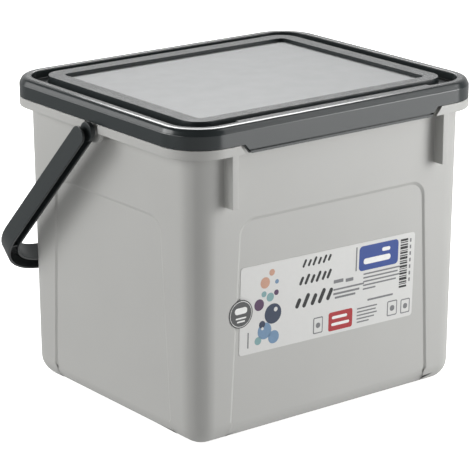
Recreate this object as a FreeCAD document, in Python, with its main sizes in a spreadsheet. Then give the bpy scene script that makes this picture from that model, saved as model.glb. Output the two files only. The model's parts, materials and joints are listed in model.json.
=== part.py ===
import FreeCAD, Part
import math
import os
import re
import Sketcher
from FreeCAD import Placement, Rotation, Vector

# Powder storage container: a tapered moulded box with a snap-on lid and a swinging bail.
# Frame: origin at the centre of the base, +Z up, the labelled front faces -Y.
# Lengths are millimetres and angles are degrees.

SIZES = [
    # lid and band, seen from above
    ("lid_length", 210.0, "outside length of the lid and the band, along X"),
    ("lid_depth", 178.0, "outside depth of the lid and the band, along Y"),
    ("lid_corner", 24.5, "corner radius of the lid and the band"),
    # levels
    ("parting_height", 169.5, "base to the parting line under the lid"),
    ("lid_rise", 11.0, "parting line to the top of the lid"),
    ("band_drop", 5.5, "height of the band under the parting line"),
    # container walls
    ("side_foot_inset", 10.25, "outside of the band to a side wall at the base"),
    ("front_foot_inset", 8.5, "outside of the band to the front and back walls at the base"),
    ("base_round", 12.0, "round along the bottom edge"),
    ("corner_margin", 1.0, "how much more the walls' corner radius is than the bottom round"),
    ("wall_draft", 0.6, "outward lean of the walls, in degrees"),
    ("wall", 2.0, "wall of the container"),
    ("floor_wall", 2.2, "floor of the container"),
    # rim that the lid clips over
    ("rim_inset", 2.7, "outside of the lid to the outside of the rim"),
    ("rim_wall", 2.0, "thickness of the rim"),
    # recessed side panels
    ("panel_depth", 0.9, "depth of the side panels"),
    ("panel_fade", 0.15, "how far the panels' inner form dips below the base, to fade them out"),
    ("panel_drop", 45.0, "parting line to the top of the side panels"),
    ("panel_corner", 9.0, "radius of the panels' top corners"),
    ("front_panel_margin", 23.75, "end of the base to the front and back panels, at the base"),
    ("front_panel_lean", 6.7, "how far the ends of the front and back panels lean in"),
    ("side_panel_margin", 24.0, "end of the base to the side panels, at the base"),
    ("side_panel_lean", 7.0, "how far the ends of the side panels lean in"),
    # fins under the band
    ("fin_inset", 30.6, "side of the band to the middle of a fin"),
    ("fin_width", 4.0, "width of a fin"),
    ("fin_length", 29.0, "length of a fin under the band"),
    # front lip of the lid and the gap for it in the band
    ("lip_inset", 36.0, "side of the lid to the end of its lip at the parting line"),
    ("lip_slant", 4.5, "how far each end of the lip slants in over its drop"),
    ("lip_gap", 2.3, "gap between each end of the lip and the band"),
    ("lip_short", 0.2, "how far the lip ends above the underside of the band"),
    ("bead_drop", 2.0, "height of the bead along the lip's lower edge"),
    ("groove_width", 0.5, "width of the groove above the bead"),
    ("groove_depth", 0.5, "depth of the groove above the bead"),
    # lid section
    ("lid_wall", 2.0, "skirt and ring of the lid"),
    ("lid_thin", 1.6, "inner walls of the lid"),
    ("lid_round", 2.6, "round along the lid's top edge"),
    ("ring_width", 7.0, "width of the top ring"),
    ("moat_depth", 5.1, "depth of the moat inside the ring"),
    ("front_moat", 9.2, "width of the moat at the front"),
    ("side_moat", 9.0, "width of the moat at the sides"),
    ("back_moat", 7.8, "width of the moat at the back"),
    ("plateau_corner", 12.0, "corner radius of the plateau"),
    ("side_border", 9.0, "side of the plateau to the recessed top panel"),
    ("front_border", 7.8, "front of the plateau to the recessed top panel"),
    ("back_border", 9.2, "back of the plateau to the recessed top panel"),
    ("top_panel_corner", 4.0, "corner radius of the recessed top panel"),
    ("top_panel_recess", 2.0, "how far the top panel is sunk"),
    ("thickening_inset", 0.5, "how far the thickened front of the ring ends inside the lip"),
    ("thickening", 2.4, "how far the front of the ring is thickened"),
    ("plug_drop", 11.8, "height of the plug rib under the moat"),
    ("plug_gap", 0.6, "gap between the plug rib and the container's wall"),
    ("lid_gap", 0.3, "running gap between the lid and the container"),
    # bail and its pivots
    ("pivot_drop", 4.9, "parting line to the pivot axis"),
    ("stud_radius", 3.0, "radius of the studs that the bail turns on"),
    ("stud_gap", 0.05, "radial running gap round a stud"),
    ("stud_short", 0.4, "end of a stud to the bottom of its bore"),
    ("ear_radius", 7.0, "radius of the ears round the pivots"),
    ("ear_inset", 1.5, "outside of the band to the face of an ear"),
    ("ear_wall", 2.6, "thickness of an ear"),
    ("notch_width", 12.2, "width of the notch in the band round a pivot"),
    ("bail_gap", 0.7, "gap between the lid's side and the bail"),
    ("bail_width", 7.3, "width of the bail's arms, along X"),
    ("bail_channel", 10.8, "depth of the bail's channel"),
    ("bail_wall", 1.6, "walls of the bail"),
    ("bail_clear", 28.3, "base to the inside of the crossbar when the bail hangs straight down"),
    ("crossbar_width", 13.2, "width of the crossbar"),
    ("bail_outer_corner", 45.0, "outer corner radius of the bail"),
    ("bail_inner_corner", 31.0, "inner corner radius of the bail"),
    ("bail_head", 2.9, "thickness of the round heads on the arms"),
    ("bail_cap", 0.9, "closed end of the bore in each head"),
    ("bail_angle", 45.5, "how far the bail hangs below the horizontal"),
    ("bail_rib_inset", 23.3, "inside of the crossbar to the cross ribs in the arms"),
    ("bail_rib_short", 1.0, "how far a cross rib ends inside the channel"),
    ("bail_rib_shift", 1.0, "how far the arms have curved in at the cross ribs"),
    ("bail_short", 2.6, "how far the arms' outer walls end short of the pivot axis"),
    # stickers
    ("label_margin", 1.8, "how much less the label is than the front panel's top, at each end"),
    ("label_height", 50.0, "height of the label"),
    ("label_corner", 2.0, "corner radius of the label"),
    ("label_level", 72.3, "base to the middle of the label"),
    ("label_shift", -2.5, "middle of the front to the middle of the label"),
    ("label_turn", 1.1, "how far the label is stuck on askew"),
    ("sticker_wall", 0.2, "thickness of the stickers"),
    ("badge_radius", 8.0, "radius of the badge"),
    ("badge_level", 73.0, "base to the middle of the badge"),
]

ALIASES = {alias for alias, value, meaning in SIZES}

# levels and places that several pieces share
BASE_LENGTH = "(lid_length - 2 * side_foot_inset)"
BASE_DEPTH = "(lid_depth - 2 * front_foot_inset)"
BASE_CORNER = "(base_round + corner_margin)"
BAND_FOOT = "(parting_height - band_drop)"
FLANGE_TOP = "(parting_height - lid_gap)"
LID_TOP = "(parting_height + lid_rise)"
MOUTH_LENGTH = BASE_LENGTH + " + 2 * tan(wall_draft) * " + FLANGE_TOP
MOUTH_DEPTH = BASE_DEPTH + " + 2 * tan(wall_draft) * " + FLANGE_TOP
MOUTH_CORNER = BASE_CORNER + " + tan(wall_draft) * " + FLANGE_TOP
PANEL_TOP = "(parting_height - panel_drop)"
FRONT_PANEL_FOOT = "(" + BASE_LENGTH + " - 2 * front_panel_margin)"
FRONT_PANEL_HEAD = "(" + FRONT_PANEL_FOOT + " - 2 * front_panel_lean)"
SIDE_PANEL_FOOT = "(" + BASE_DEPTH + " - 2 * side_panel_margin)"
SIDE_PANEL_HEAD = "(" + SIDE_PANEL_FOOT + " - 2 * side_panel_lean)"
FIN_PLACE = "(lid_length / 2 - fin_inset)"
LIP_HALF = "(lid_length / 2 - lip_inset)"
RING_FOOT = "(" + LID_TOP + " - lid_wall)"
MOAT_TOP = "(" + LID_TOP + " - moat_depth)"
MOAT_FOOT = "(" + MOAT_TOP + " - lid_thin)"
TOP_PANEL_FOOT = "(" + LID_TOP + " - top_panel_recess - lid_thin)"
LIP_FOOT = "(" + BAND_FOOT + " + lip_short)"
PIVOT_HEIGHT = "(parting_height - pivot_drop)"
EAR_FACE = "(lid_length / 2 - ear_inset)"
BAIL_INSIDE = "(lid_length / 2 + bail_gap)"
BAIL_OUTSIDE = "(" + BAIL_INSIDE + " + bail_width)"
BAIL_REACH = "(" + PIVOT_HEIGHT + " - bail_clear)"
BAIL_RIB = "(" + BAIL_REACH + " - bail_rib_inset)"
CROSSBAR_OUTSIDE = "(" + BAIL_REACH + " + crossbar_width)"
LABEL_LENGTH = "(" + FRONT_PANEL_HEAD + " - 2 * label_margin)"
BADGE_PLACE = "(label_shift - " + LABEL_LENGTH + " / 2)"

CUT_OVER = 1.0
CLOSE = 0.001

doc = FreeCAD.newDocument("PowderStorageContainer")


# ---------------------------------------------------------------- small helpers


def make_sheet():
    """Put the driving dimensions in a spreadsheet, one named cell each."""
    sheet = doc.addObject("Spreadsheet::Sheet", "Sizes")
    for row, (alias, value, meaning) in enumerate(SIZES, start=1):
        sheet.set("A%d" % row, meaning)
        sheet.set("B%d" % row, str(value))
        sheet.setAlias("B%d" % row, alias)
    doc.recompute()
    return sheet


def sized(text):
    """Write an expression of plain size names as one that reads the spreadsheet."""
    words = re.findall(r"[A-Za-z_]+|[^A-Za-z_]+", str(text))
    return "".join("Sizes." + word if word in ALIASES else word for word in words)


def amount(text):
    """The present value of an expression, to draw a sketch near its final form."""
    found = sheet.evalExpression(sized(text))
    return float(getattr(found, "Value", found))


def bind(thing, **expressions):
    """Bind properties to expressions; a double underscore stands for a dot."""
    for name, text in expressions.items():
        thing.setExpression(name.replace("__", "."), sized(text))


def new_body(name):
    """A PartDesign body that carries its own label."""
    body = doc.addObject("PartDesign::Body", name)
    body.Label = name
    return body


def new_sketch(body, name, role, offset="0"):
    """A sketch on one of the body's origin planes, moved along its normal."""
    planes = [plane for plane in body.Origin.OriginFeatures if plane.Role == role]
    sketch = body.newObject("Sketcher::SketchObject", name)
    sketch.AttachmentSupport = [(planes[0], "")]
    sketch.MapMode = "FlatFace"
    bind(sketch, AttachmentOffset__Base__z=offset)
    return sketch


def measure(sketch, kind, points, text):
    """Add a driving constraint and bind it to an expression."""
    index = sketch.addConstraint(Sketcher.Constraint(kind, *points, amount(text)))
    sketch.setExpression("Constraints[%d]" % index, sized(text))


def polygon(sketch, corners):
    """A closed outline whose corners sit at bound distances from the origin."""
    spots = [Vector(amount(across), amount(up), 0) for across, up in corners]
    first = sketch.GeometryCount
    count = len(corners)
    for index in range(count):
        following = spots[(index + 1) % count]
        sketch.addGeometry(Part.LineSegment(spots[index], following), False)
    for index in range(count):
        following = first + (index + 1) % count
        sketch.addConstraint(Sketcher.Constraint("Coincident", first + index, 2, following, 1))
    for index, (across, up) in enumerate(corners):
        place_point(sketch, (first + index, 1), across, up)


def place_point(sketch, point, across, up):
    """Hold a sketch point at bound distances from the sketch origin."""
    for kind, text in (("DistanceX", across), ("DistanceY", up)):
        if abs(amount(text)) < CLOSE:
            on_axis = {"DistanceX": -2, "DistanceY": -1}[kind]
            sketch.addConstraint(Sketcher.Constraint("PointOnObject", *point, on_axis))
        else:
            measure(sketch, kind, (-1, 1) + point, text)


def rounded_rectangle(sketch, length, depth, corner, shift="0"):
    """A rectangle with round corners, centred across and moved up by shift."""
    half_x = amount(length) / 2
    half_y = amount(depth) / 2
    radius = amount(corner)
    middle = amount(shift)
    inner_x = half_x - radius
    inner_y = half_y - radius
    runs = [
        ((-inner_x, -half_y), (inner_x, -half_y)),
        ((half_x, -inner_y), (half_x, inner_y)),
        ((inner_x, half_y), (-inner_x, half_y)),
        ((-half_x, inner_y), (-half_x, -inner_y)),
    ]
    centres = [(inner_x, -inner_y), (inner_x, inner_y), (-inner_x, inner_y), (-inner_x, -inner_y)]
    first = sketch.GeometryCount
    for start, end in runs:
        low = Vector(start[0], start[1] + middle, 0)
        high = Vector(end[0], end[1] + middle, 0)
        sketch.addGeometry(Part.LineSegment(low, high), False)
    for turn, (across, up) in enumerate(centres):
        circle = Part.Circle(Vector(across, up + middle, 0), Vector(0, 0, 1), radius)
        start = math.radians(90 * turn - 90)
        sketch.addGeometry(Part.ArcOfCircle(circle, start, start + math.pi / 2), False)
    bottom, right, top, left = range(first, first + 4)
    arcs = range(first + 4, first + 8)
    for turn, arc in enumerate(arcs):
        following = first + (turn + 1) % 4
        sketch.addConstraint(Sketcher.Constraint("Tangent", first + turn, 2, arc, 1))
        sketch.addConstraint(Sketcher.Constraint("Tangent", arc, 2, following, 1))
    for kind, lines in (("Horizontal", (bottom, top)), ("Vertical", (right, left))):
        for line in lines:
            sketch.addConstraint(Sketcher.Constraint(kind, line))
    for arc in arcs[1:]:
        sketch.addConstraint(Sketcher.Constraint("Equal", arcs[0], arc))
    measure(sketch, "Radius", (arcs[0],), corner)
    measure(sketch, "DistanceX", (left, 1, right, 1), length)
    measure(sketch, "DistanceY", (bottom, 1, top, 1), depth)
    measure(sketch, "DistanceX", (-1, 1, right, 1), "(%s) / 2" % length)
    measure(sketch, "DistanceY", (-1, 1, top, 1), "(%s) / 2 + %s" % (depth, shift))


def u_profile(sketch, outer, inner, start):
    """A U open at its start: outer and inner are (half width, reach, corner)."""
    first = sketch.GeometryCount
    for half, reach, corner in (outer, inner):
        half_x = amount(half)
        far = amount(reach)
        radius = amount(corner)
        near = amount(start)
        bend = far - radius
        spots = [
            Vector(-half_x, near, 0),
            Vector(-half_x, bend, 0),
            Vector(radius - half_x, far, 0),
            Vector(half_x - radius, far, 0),
            Vector(half_x, bend, 0),
            Vector(half_x, near, 0),
        ]
        left = Part.Circle(Vector(radius - half_x, bend, 0), Vector(0, 0, 1), radius)
        right = Part.Circle(Vector(half_x - radius, bend, 0), Vector(0, 0, 1), radius)
        quarter = math.pi / 2
        for piece in (
            Part.LineSegment(spots[0], spots[1]),
            Part.ArcOfCircle(left, quarter, 2 * quarter),
            Part.LineSegment(spots[2], spots[3]),
            Part.ArcOfCircle(right, 0, quarter),
            Part.LineSegment(spots[4], spots[5]),
        ):
            sketch.addGeometry(piece, False)
    for index, (half, reach, corner) in enumerate((outer, inner)):
        arm, left, bar, right, back = range(first + 5 * index, first + 5 * index + 5)
        for one, two in (((arm, 2), (left, 2)), ((left, 1), (bar, 1)),
                         ((bar, 2), (right, 2)), ((right, 1), (back, 1))):
            sketch.addConstraint(Sketcher.Constraint("Tangent", *one, *two))
        sketch.addConstraint(Sketcher.Constraint("Vertical", arm))
        sketch.addConstraint(Sketcher.Constraint("Vertical", back))
        sketch.addConstraint(Sketcher.Constraint("Horizontal", bar))
        sketch.addConstraint(Sketcher.Constraint("Equal", left, right))
        measure(sketch, "Radius", (left,), corner)
        measure(sketch, "DistanceX", (arm, 1, back, 2), "2 * (%s)" % half)
        place_point(sketch, (back, 2), half, start)
        measure(sketch, "DistanceY", (-1, 1, bar, 1), reach)
        if abs(amount(start)) < CLOSE:
            sketch.addConstraint(Sketcher.Constraint("PointOnObject", arm, 1, -1))
        else:
            measure(sketch, "DistanceY", (-1, 1, arm, 1), start)
    for one, two in (((first, 1), (first + 5, 1)), ((first + 4, 2), (first + 9, 2))):
        low = sketch.getPoint(*one)
        high = sketch.getPoint(*two)
        line = sketch.addGeometry(Part.LineSegment(low, high), False)
        sketch.addConstraint(Sketcher.Constraint("Coincident", line, 1, *one))
        sketch.addConstraint(Sketcher.Constraint("Coincident", line, 2, *two))


def circle(sketch, radius, across="0", up="0"):
    """A circle at bound distances from the sketch origin."""
    centre = Vector(amount(across), amount(up), 0)
    round_edge = Part.Circle(centre, Vector(0, 0, 1), amount(radius))
    index = sketch.addGeometry(round_edge, False)
    measure(sketch, "Radius", (index,), radius)
    place_point(sketch, (index, 3), across, up)


def pad(body, sketch, length):
    """Pad a sketch along its normal."""
    feature = body.newObject("PartDesign::Pad", sketch.Name + "_pad")
    feature.Profile = (sketch, [""])
    bind(feature, Length=length)
    doc.recompute()
    return feature


def pocket(body, sketch, length, upwards=False):
    """Cut a sketch into the body, against its normal unless upwards is set."""
    before = body.Shape.Volume
    feature = body.newObject("PartDesign::Pocket", sketch.Name + "_pocket")
    feature.Profile = (sketch, [""])
    feature.Reversed = upwards
    bind(feature, Length=length)
    doc.recompute()
    if not body.Shape.Volume < before - CLOSE:
        raise RuntimeError(feature.Name + " cuts nothing")
    return feature


def edges_where(feature, test):
    """Names of the feature's edges whose bounding box passes the test."""
    edges = enumerate(feature.Shape.Edges, start=1)
    return ["Edge%d" % index for index, edge in edges if test(edge.BoundBox)]


def fillet(body, base, name, radius, test):
    """Round the edges of a feature that pass the test."""
    feature = body.newObject("PartDesign::Fillet", name)
    feature.Base = (base, edges_where(base, test))
    bind(feature, Radius=radius)
    doc.recompute()
    return feature


def fuse(name, pieces):
    """Join document objects into one."""
    feature = doc.addObject("Part::MultiFuse", name)
    feature.Shapes = pieces
    return feature


def cut(name, base, tool):
    """Cut one document object with another."""
    feature = doc.addObject("Part::Cut", name)
    feature.Base = base
    feature.Tool = tool
    return feature


def cylinder_along_x(name, start, length, radius, up, sweep=360):
    """A cylinder along X that starts at a bound place; a sweep of 180 is its lower half."""
    feature = doc.addObject("Part::Cylinder", name)
    along_x = Rotation(Vector(0, 1, 0), 90).multiply(Rotation(Vector(0, 0, 1), -90))
    feature.Placement = Placement(Vector(), along_x)
    feature.Angle = sweep
    bind(feature, Radius=radius, Height=length, Placement__Base__x=start, Placement__Base__z=up)
    return feature


def box(name, low, size):
    """A box from its low corner and its size, both bound."""
    feature = doc.addObject("Part::Box", name)
    bind(feature, Length=size[0], Width=size[1], Height=size[2])
    bind(feature, Placement__Base__x=low[0], Placement__Base__y=low[1], Placement__Base__z=low[2])
    return feature


# ---------------------------------------------------------------- container


def tapered_block(name, inset, foot):
    """The container's tapered form, drawn in by inset, from foot to the flange."""
    body = new_body(name)
    base = new_sketch(body, name + "_base", "XY_Plane", foot)
    spread = "tan(wall_draft) * %s - %s" % (foot, inset)
    rounded_rectangle(base, "%s + 2 * (%s)" % (BASE_LENGTH, spread),
                      "%s + 2 * (%s)" % (BASE_DEPTH, spread), "%s + %s" % (BASE_CORNER, spread))
    block = pad(body, base, "%s - %s" % (FLANGE_TOP, foot))
    bind(block, TaperAngle="wall_draft")
    doc.recompute()
    level = amount(foot)
    fillet(body, block, name + "_round", "base_round - " + inset,
           lambda extent: extent.ZMax < level + CLOSE)
    return body


def make_rim():
    """The flange round the mouth, the band that hangs from it and the rim on top."""
    body = new_body("rim")
    plate = new_sketch(body, "flange", "XY_Plane", BAND_FOOT)
    rounded_rectangle(plate, "lid_length", "lid_depth", "lid_corner")
    pad(body, plate, "band_drop - lid_gap")
    under = new_sketch(body, "band_inside", "XY_Plane", BAND_FOOT)
    rounded_rectangle(under, "lid_length - 2 * wall", "lid_depth - 2 * wall", "lid_corner - wall")
    pocket(body, under, "band_drop - lid_gap - wall", upwards=True)
    wall = new_sketch(body, "rim_wall", "XY_Plane", FLANGE_TOP)
    rounded_rectangle(wall, "lid_length - 2 * rim_inset", "lid_depth - 2 * rim_inset",
                      "lid_corner - rim_inset")
    rounded_rectangle(wall, "lid_length - 2 * rim_inset - 2 * rim_wall",
                      "lid_depth - 2 * rim_inset - 2 * rim_wall",
                      "lid_corner - rim_inset - rim_wall")
    pad(body, wall, "%s - %s" % (RING_FOOT, FLANGE_TOP))
    return body


def make_ears():
    """Round ears under the flange, one at each pivot, with their studs and notches."""
    ears = []
    notches = []
    for side, name in ((-1, "left"), (1, "right")):
        for part, near, length, radius, sweep in (
            ("ear_round", EAR_FACE + " - ear_wall", "ear_wall", "ear_radius", 180),
            ("stud", EAR_FACE + " - ear_wall / 2",
             "(ear_wall / 2 + ear_inset + bail_gap + bail_head - bail_cap - stud_short)",
             "stud_radius", 360),
        ):
            start = near if side > 0 else "-(%s) - %s" % (near, length)
            ears.append(cylinder_along_x(name + "_" + part, start, length, radius, PIVOT_HEIGHT,
                                         sweep))
        start = EAR_FACE + " - ear_wall" if side > 0 else "-" + EAR_FACE
        ears.append(box(name + "_ear", (start, "-ear_radius", PIVOT_HEIGHT),
                        ("ear_wall", "2 * ear_radius", "pivot_drop - lid_gap - wall / 2")))
        notch = EAR_FACE if side > 0 else "-lid_length / 2 - %g" % CUT_OVER
        notches.append(box(name + "_notch",
                           (notch, "-notch_width / 2", "%s - %g" % (BAND_FOOT, CUT_OVER)),
                           ("ear_inset + %g" % CUT_OVER, "notch_width",
                            "band_drop + %g" % (2 * CUT_OVER))))
    return ears, notches


def make_fins():
    """Two square fins that stand out from the front wall under the band."""
    fins = []
    for side, name in ((-1, "left"), (1, "right")):
        low = ("%d * %s - fin_width / 2" % (side, FIN_PLACE), "-lid_depth / 2",
               BAND_FOOT + " - fin_length")
        size = ("fin_width", "(lid_depth - (%s) + wall) / 2" % MOUTH_DEPTH, "fin_length + wall")
        fins.append(box(name + "_fin", low, size))
    return fins


def make_front_gap():
    """The gap in the band for the lid's lip, with its slanted ends."""
    body = new_body("front_gap")
    outline = new_sketch(body, "front_gap_outline", "XZ_Plane",
                         "lid_depth / 2 - lid_wall - lid_gap")
    slope = "lip_slant * %g / band_drop" % CUT_OVER
    top = "(%s + lip_gap + %s)" % (LIP_HALF, slope)
    foot = "(%s + lip_gap - lip_slant - %s)" % (LIP_HALF, slope)
    high = "parting_height + %g" % CUT_OVER
    low = "%s - %g" % (BAND_FOOT, CUT_OVER)
    polygon(outline, [("-" + foot, low), (foot, low), (top, high), ("-" + top, high)])
    pad(body, outline, "lid_wall + lid_gap + %g" % CUT_OVER)
    return body


def make_panel_prism(name, role, foot_width, head_width, across):
    """A prism with one panel's outline that runs right through the container."""
    body = new_body(name)
    outline = new_sketch(body, name + "_outline", role, "-%s / 2" % across)
    foot = "(%s / 2)" % foot_width
    head = "(%s / 2)" % head_width
    low = "-%g" % CUT_OVER
    polygon(outline, [("-" + foot, low), (foot, low), (head, PANEL_TOP), ("-" + head, PANEL_TOP)])
    prism = pad(body, outline, across)
    level = amount(PANEL_TOP)
    width = amount(head_width)

    def top_corner(extent):
        """An edge along the prism at one of its two upper corners."""
        along = max(extent.XLength, extent.YLength)
        return extent.ZMin > level - CLOSE and along > width + CLOSE

    fillet(body, prism, name + "_corners", "panel_corner", top_corner)
    return body


def make_panels():
    """Shallow panels on the four sides that run out through the bottom edge."""
    front = make_panel_prism("front_panel", "XZ_Plane", FRONT_PANEL_FOOT, FRONT_PANEL_HEAD,
                             "lid_depth")
    side = make_panel_prism("side_panel", "YZ_Plane", SIDE_PANEL_FOOT, SIDE_PANEL_HEAD,
                            "lid_length")
    core = tapered_block("panel_core", "panel_depth", "-panel_fade")
    return cut("panels", fuse("panel_prisms", [front, side]), core)


def make_container():
    """The moulded container: walls, rim, ears and fins less its hollows."""
    walls = tapered_block("walls", "0", "0")
    cavity = tapered_block("cavity", "wall", "floor_wall")
    ears, notches = make_ears()
    rim = cut("notched_rim", make_rim(), fuse("notches", notches))
    solid = fuse("container_solid", [walls, rim] + ears + make_fins())
    hollows = [cavity, make_panels(), make_front_gap()]
    container = cut("container", solid, fuse("container_hollows", hollows))
    container.Label = "container"
    return container


# ---------------------------------------------------------------- lid


def make_lid():
    """The moulded lid, from the skirt inwards."""
    body = new_body("lid")
    ring_in = "(lid_length - 2 * ring_width)"
    ring_in_depth = "(lid_depth - 2 * ring_width)"
    plateau = "(%s - 2 * side_moat)" % ring_in
    plateau_depth = "(%s - front_moat - back_moat)" % ring_in_depth
    plateau_shift = "(front_moat - back_moat) / 2"

    block = new_sketch(body, "skirt", "XY_Plane", "parting_height")
    rounded_rectangle(block, "lid_length", "lid_depth", "lid_corner")
    skirt = pad(body, block, "lid_rise")
    crown = amount(LID_TOP)
    fillet(body, skirt, "lid_edge", "lid_round", lambda extent: extent.ZMin > crown - CLOSE)

    inside = new_sketch(body, "skirt_inside", "XY_Plane", "parting_height")
    rounded_rectangle(inside, "lid_length - 2 * lid_wall", "lid_depth - 2 * lid_wall",
                      "lid_corner - lid_wall")
    pocket(body, inside, "lid_rise - lid_wall", upwards=True)

    well = new_sketch(body, "well", "XY_Plane", MOAT_FOOT)
    rounded_rectangle(well, ring_in + " + 2 * lid_thin", ring_in_depth + " + 2 * lid_thin",
                      "lid_corner - ring_width + lid_thin")
    pad(body, well, "%s - %s" % (RING_FOOT, MOAT_FOOT))

    moat = new_sketch(body, "moat", "XY_Plane", LID_TOP)
    rounded_rectangle(moat, ring_in, ring_in_depth, "lid_corner - ring_width")
    rounded_rectangle(moat, plateau, plateau_depth, "plateau_corner", plateau_shift)
    pocket(body, moat, "moat_depth")

    panel = new_sketch(body, "top_panel", "XY_Plane", LID_TOP)
    panel_length = "(%s - 2 * side_border)" % plateau
    panel_depth = "(%s - front_border - back_border)" % plateau_depth
    panel_shift = "(%s + (front_border - back_border) / 2)" % plateau_shift
    rounded_rectangle(panel, panel_length, panel_depth, "top_panel_corner", panel_shift)
    pocket(body, panel, "top_panel_recess")

    under = new_sketch(body, "under_panel", "XY_Plane", MOAT_FOOT)
    rounded_rectangle(under, plateau + " - 2 * lid_thin", plateau_depth + " - 2 * lid_thin",
                      "plateau_corner - lid_thin", plateau_shift)
    pocket(body, under, "%s - %s" % (TOP_PANEL_FOOT, MOAT_FOOT), upwards=True)

    border = new_sketch(body, "under_border", "XY_Plane", TOP_PANEL_FOOT)
    rounded_rectangle(border, plateau + " - 2 * lid_thin", plateau_depth + " - 2 * lid_thin",
                      "plateau_corner - lid_thin", plateau_shift)
    rounded_rectangle(border, panel_length + " + 2 * lid_thin", panel_depth + " + 2 * lid_thin",
                      "top_panel_corner + lid_thin", panel_shift)
    pocket(body, border, "top_panel_recess", upwards=True)

    plug = new_sketch(body, "plug", "XY_Plane", MOAT_FOOT + " - plug_drop")
    inset = "2 * (wall + plug_gap)"
    rounded_rectangle(plug, "%s - %s" % (MOUTH_LENGTH, inset), "%s - %s" % (MOUTH_DEPTH, inset),
                      MOUTH_CORNER + " - wall - plug_gap")
    rounded_rectangle(plug, "%s - %s - 2 * lid_thin" % (MOUTH_LENGTH, inset),
                      "%s - %s - 2 * lid_thin" % (MOUTH_DEPTH, inset),
                      MOUTH_CORNER + " - wall - plug_gap - lid_thin")
    pad(body, plug, "plug_drop")

    front = new_sketch(body, "thick_front", "XY_Plane", MOAT_TOP)
    outside = "(ring_width - lid_depth / 2)"
    wide = "(%s - thickening_inset)" % LIP_HALF
    narrow = "(%s - thickening_inset - thickening)" % LIP_HALF
    polygon(front, [("-" + wide, outside), (wide, outside),
                    (narrow, outside + " + thickening"), ("-" + narrow, outside + " + thickening")])
    pad(body, front, "moat_depth")

    lip = new_sketch(body, "lip", "XZ_Plane", "lid_depth / 2 - lid_wall")
    foot = "(%s - lip_slant)" % LIP_HALF
    polygon(lip, [("-" + foot, LIP_FOOT), (foot, LIP_FOOT), (LIP_HALF, "parting_height"),
                  ("-" + LIP_HALF, "parting_height")])
    pad(body, lip, "lid_wall")

    groove = new_sketch(body, "lip_groove", "XZ_Plane", "lid_depth / 2")
    low = LIP_FOOT + " + bead_drop"
    high = low + " + groove_width"
    polygon(groove, [("-" + foot, low), (foot, low), (foot, high), ("-" + foot, high)])
    pocket(body, groove, "groove_depth")
    return body


# ---------------------------------------------------------------- bail


def make_handle():
    """The bail: a U channel with round heads and blind bores, hung at its angle."""
    body = new_body("handle")
    outer = (BAIL_OUTSIDE, CROSSBAR_OUTSIDE, "bail_outer_corner")
    inner = (BAIL_INSIDE, BAIL_REACH, "bail_inner_corner")
    outer_lining = (BAIL_OUTSIDE + " - bail_wall", CROSSBAR_OUTSIDE + " - bail_wall",
                    "bail_outer_corner - bail_wall")
    inner_lining = (BAIL_INSIDE + " + bail_wall", BAIL_REACH + " + bail_wall",
                    "bail_inner_corner + bail_wall")
    for name, start_level, shape, start, length in (
        ("outer_wall", "-bail_channel / 2", (outer, outer_lining), "bail_short", "bail_channel"),
        ("web", "bail_channel / 2 - bail_wall", (outer, inner), "bail_short", "bail_wall"),
        ("inner_wall", "-bail_channel / 2", (inner_lining, inner), "0", "bail_channel"),
    ):
        sketch = new_sketch(body, name, "XY_Plane", start_level)
        u_profile(sketch, shape[0], shape[1], start)
        pad(body, sketch, length)

    for side, name in ((-1, "left"), (1, "right")):
        inside = BAIL_INSIDE if side > 0 else "-%s - bail_head" % BAIL_INSIDE
        outside = BAIL_OUTSIDE + " - bail_wall" if side > 0 else "-" + BAIL_OUTSIDE
        for part, start, along, thickness in (
            ("head", inside, "0", "bail_head"),
            ("end", outside, "bail_short", "bail_wall"),
        ):
            sketch = new_sketch(body, name + "_" + part, "YZ_Plane", start)
            circle(sketch, "bail_channel / 2", along)
            pad(body, sketch, thickness)
        mouth = "%s - %g" % (inside, CUT_OVER) if side > 0 else "%s + bail_cap" % inside
        bore = new_sketch(body, name + "_bore", "YZ_Plane", mouth)
        circle(bore, "stud_radius + stud_gap")
        pocket(body, bore, "bail_head - bail_cap + %g" % CUT_OVER, upwards=True)
        rib = new_sketch(body, name + "_rib", "XY_Plane", "bail_rib_short - bail_channel / 2")
        near = "%d * (%s + bail_wall / 2 - bail_rib_shift)" % (side, BAIL_INSIDE)
        far = "%d * (%s - bail_wall / 2 - bail_rib_shift)" % (side, BAIL_OUTSIDE)
        low, high = (near, far) if side > 0 else (far, near)
        rib_end = BAIL_RIB + " + bail_wall"
        polygon(rib, [(low, BAIL_RIB), (high, BAIL_RIB), (high, rib_end), (low, rib_end)])
        pad(body, rib, "bail_channel - bail_rib_short - bail_wall / 2")

    body.Placement = Placement(Vector(), Rotation(Vector(1, 0, 0), -1))
    bind(body, Placement__Base__z=PIVOT_HEIGHT, Placement__Rotation__Angle="-bail_angle")
    return body


# ---------------------------------------------------------------- stickers


def stick_on(body, level, lift):
    """Lay a sticker on the sloping front wall, raised by lift from the panel."""
    away = "%s / 2 - panel_depth + %s + tan(wall_draft) * %s" % (BASE_DEPTH, lift, level)
    body.Placement = Placement(Vector(), Rotation(Vector(1, 0, 0), 1))
    bind(body, Placement__Base__y="-(%s)" % away, Placement__Base__z=level,
         Placement__Rotation__Angle="wall_draft")


def make_label():
    """The thin rectangular sticker, stuck on a little askew."""
    body = new_body("label")
    outline = new_sketch(body, "label_outline", "XZ_Plane")
    rounded_rectangle(outline, LABEL_LENGTH, "label_height", "label_corner")
    outline.AttachmentOffset = Placement(Vector(), Rotation(Vector(0, 0, 1), -1))
    bind(outline, AttachmentOffset__Base__x="label_shift",
         AttachmentOffset__Rotation__Angle="-label_turn")
    pad(body, outline, "sticker_wall")
    stick_on(body, "label_level", "0")
    return body


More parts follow.
